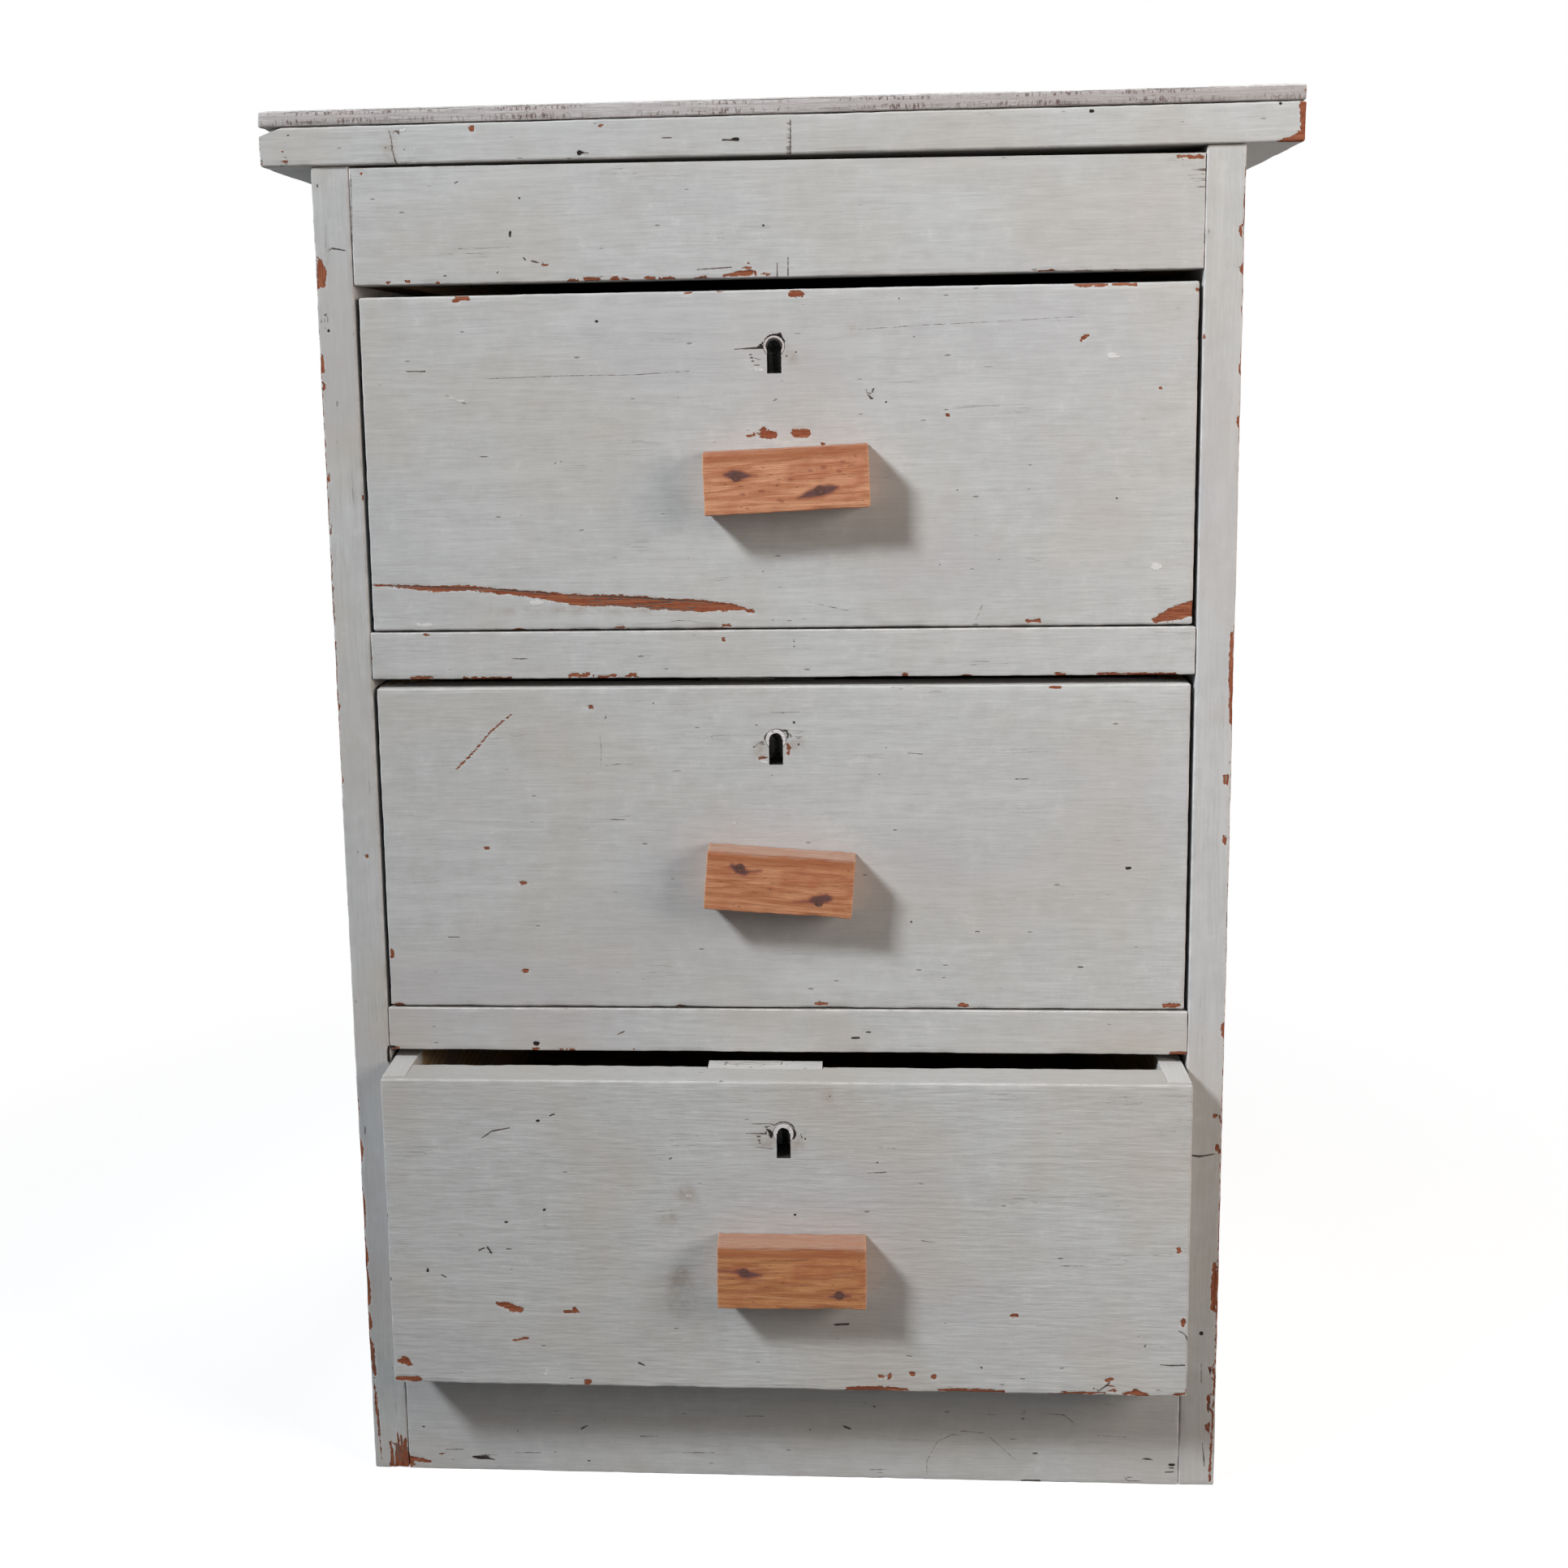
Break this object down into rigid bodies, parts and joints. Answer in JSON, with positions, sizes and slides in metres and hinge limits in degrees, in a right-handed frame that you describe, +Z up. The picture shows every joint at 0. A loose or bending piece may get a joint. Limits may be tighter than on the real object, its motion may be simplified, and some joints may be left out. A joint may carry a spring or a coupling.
{
  "type": "workshop drawer unit",
  "caption": "Old painted softwood drawer unit with an overhanging board top, locking drawers that slide out on runners, and nailed pine block handles.",
  "frame": {"origin": "on the floor, under the middle of the unit's overall box", "axes": "+Z up, the drawers open towards -Y, +X to the right of someone who faces the drawers"},
  "size_m": [0.6128, 0.5348, 0.8746],
  "materials": {
    "grey_paint": "softwood under old light grey oil paint, satin, chipped to a red-brown undercoat along the edges",
    "worn_top": "thin rough-sawn board, worn grey paint with dark saw marks on its edge",
    "bare_pine": "oiled bare pine, worn, with rust stains round the nails",
    "inner_softwood": "planed softwood, unpainted and dusty with age",
    "bottom_panel": "thin wood panel, unpainted",
    "lock_paint": "steel lock case brushed over with the same grey paint",
    "lock_steel": "dull steel",
    "liner_paint": "cast metal liner, pale and worn",
    "wire_nails": "steel wire nails and screws, rusty"
  },
  "bodies": {
    "carcass": {"back_boards": "inner_softwood", "back_nails": "wire_nails", "carcass_side_left": "grey_paint", "carcass_side_right": "grey_paint", "frame_nails": "wire_nails", "lower_drawer_rail": "grey_paint", "lower_runner_left": "inner_softwood", "lower_runner_right": "inner_softwood", "middle_runner_left": "inner_softwood", "middle_runner_right": "inner_softwood", "plinth_rail": "grey_paint", "top_board": "grey_paint", "top_nails": "wire_nails", "top_overlay": "worn_top", "top_rail": "grey_paint", "upper_drawer_rail": "grey_paint", "upper_kicker_left": "inner_softwood", "upper_kicker_right": "inner_softwood", "upper_runner_left": "inner_softwood", "upper_runner_right": "inner_softwood"},
    "upper_drawer": {"upper_drawer_back": "inner_softwood", "upper_drawer_bottom": "bottom_panel", "upper_drawer_front": "grey_paint", "upper_drawer_handle": "bare_pine", "upper_drawer_handle_nails": "wire_nails", "upper_drawer_joint_nails": "wire_nails", "upper_drawer_keyhole_liner": "liner_paint", "upper_drawer_lock_case": "lock_paint", "upper_drawer_lock_screws": "wire_nails", "upper_drawer_lock_spring": "lock_steel", "upper_drawer_side_left": "inner_softwood", "upper_drawer_side_right": "inner_softwood"},
    "upper_lock_bolt": {"upper_drawer_lock_bolt": "lock_steel"},
    "middle_drawer": {"middle_drawer_back": "inner_softwood", "middle_drawer_bottom": "bottom_panel", "middle_drawer_front": "grey_paint", "middle_drawer_handle": "bare_pine", "middle_drawer_handle_nails": "wire_nails", "middle_drawer_joint_nails": "wire_nails", "middle_drawer_keyhole_liner": "liner_paint", "middle_drawer_lock_case": "lock_paint", "middle_drawer_lock_screws": "wire_nails", "middle_drawer_lock_spring": "lock_steel", "middle_drawer_side_left": "inner_softwood", "middle_drawer_side_right": "inner_softwood"},
    "middle_lock_bolt": {"middle_drawer_lock_bolt": "lock_steel"},
    "lower_drawer": {"lower_drawer_back": "inner_softwood", "lower_drawer_bottom": "bottom_panel", "lower_drawer_front": "grey_paint", "lower_drawer_handle": "bare_pine", "lower_drawer_handle_nails": "wire_nails", "lower_drawer_joint_nails": "wire_nails", "lower_drawer_keyhole_liner": "liner_paint", "lower_drawer_lock_case": "lock_paint", "lower_drawer_lock_screws": "wire_nails", "lower_drawer_lock_spring": "lock_steel", "lower_drawer_side_left": "inner_softwood", "lower_drawer_side_right": "inner_softwood"},
    "lower_lock_bolt": {"lower_drawer_lock_bolt": "lock_steel"}
  },
  "joints": [
    {"name": "upper_drawer_slide", "type": "slide", "parent": "carcass", "child": "upper_drawer", "axis": [0, -1, 0], "range_m": [0, 0.32]},
    {"name": "upper_lock_bolt_slide", "type": "slide", "parent": "upper_drawer", "child": "upper_lock_bolt", "axis": [0, 0, 1], "range_m": [0, 0.008]},
    {"name": "middle_drawer_slide", "type": "slide", "parent": "carcass", "child": "middle_drawer", "axis": [0, -1, 0], "range_m": [0, 0.32]},
    {"name": "middle_lock_bolt_slide", "type": "slide", "parent": "middle_drawer", "child": "middle_lock_bolt", "axis": [0, 0, 1], "range_m": [0, 0.008]},
    {"name": "lower_drawer_slide", "type": "slide", "parent": "carcass", "child": "lower_drawer", "axis": [0, -1, 0], "range_m": [-0.0348, 0.2852]},
    {"name": "lower_lock_bolt_slide", "type": "slide", "parent": "lower_drawer", "child": "lower_lock_bolt", "axis": [0, 0, 1], "range_m": [0, 0.008]}
  ]
}
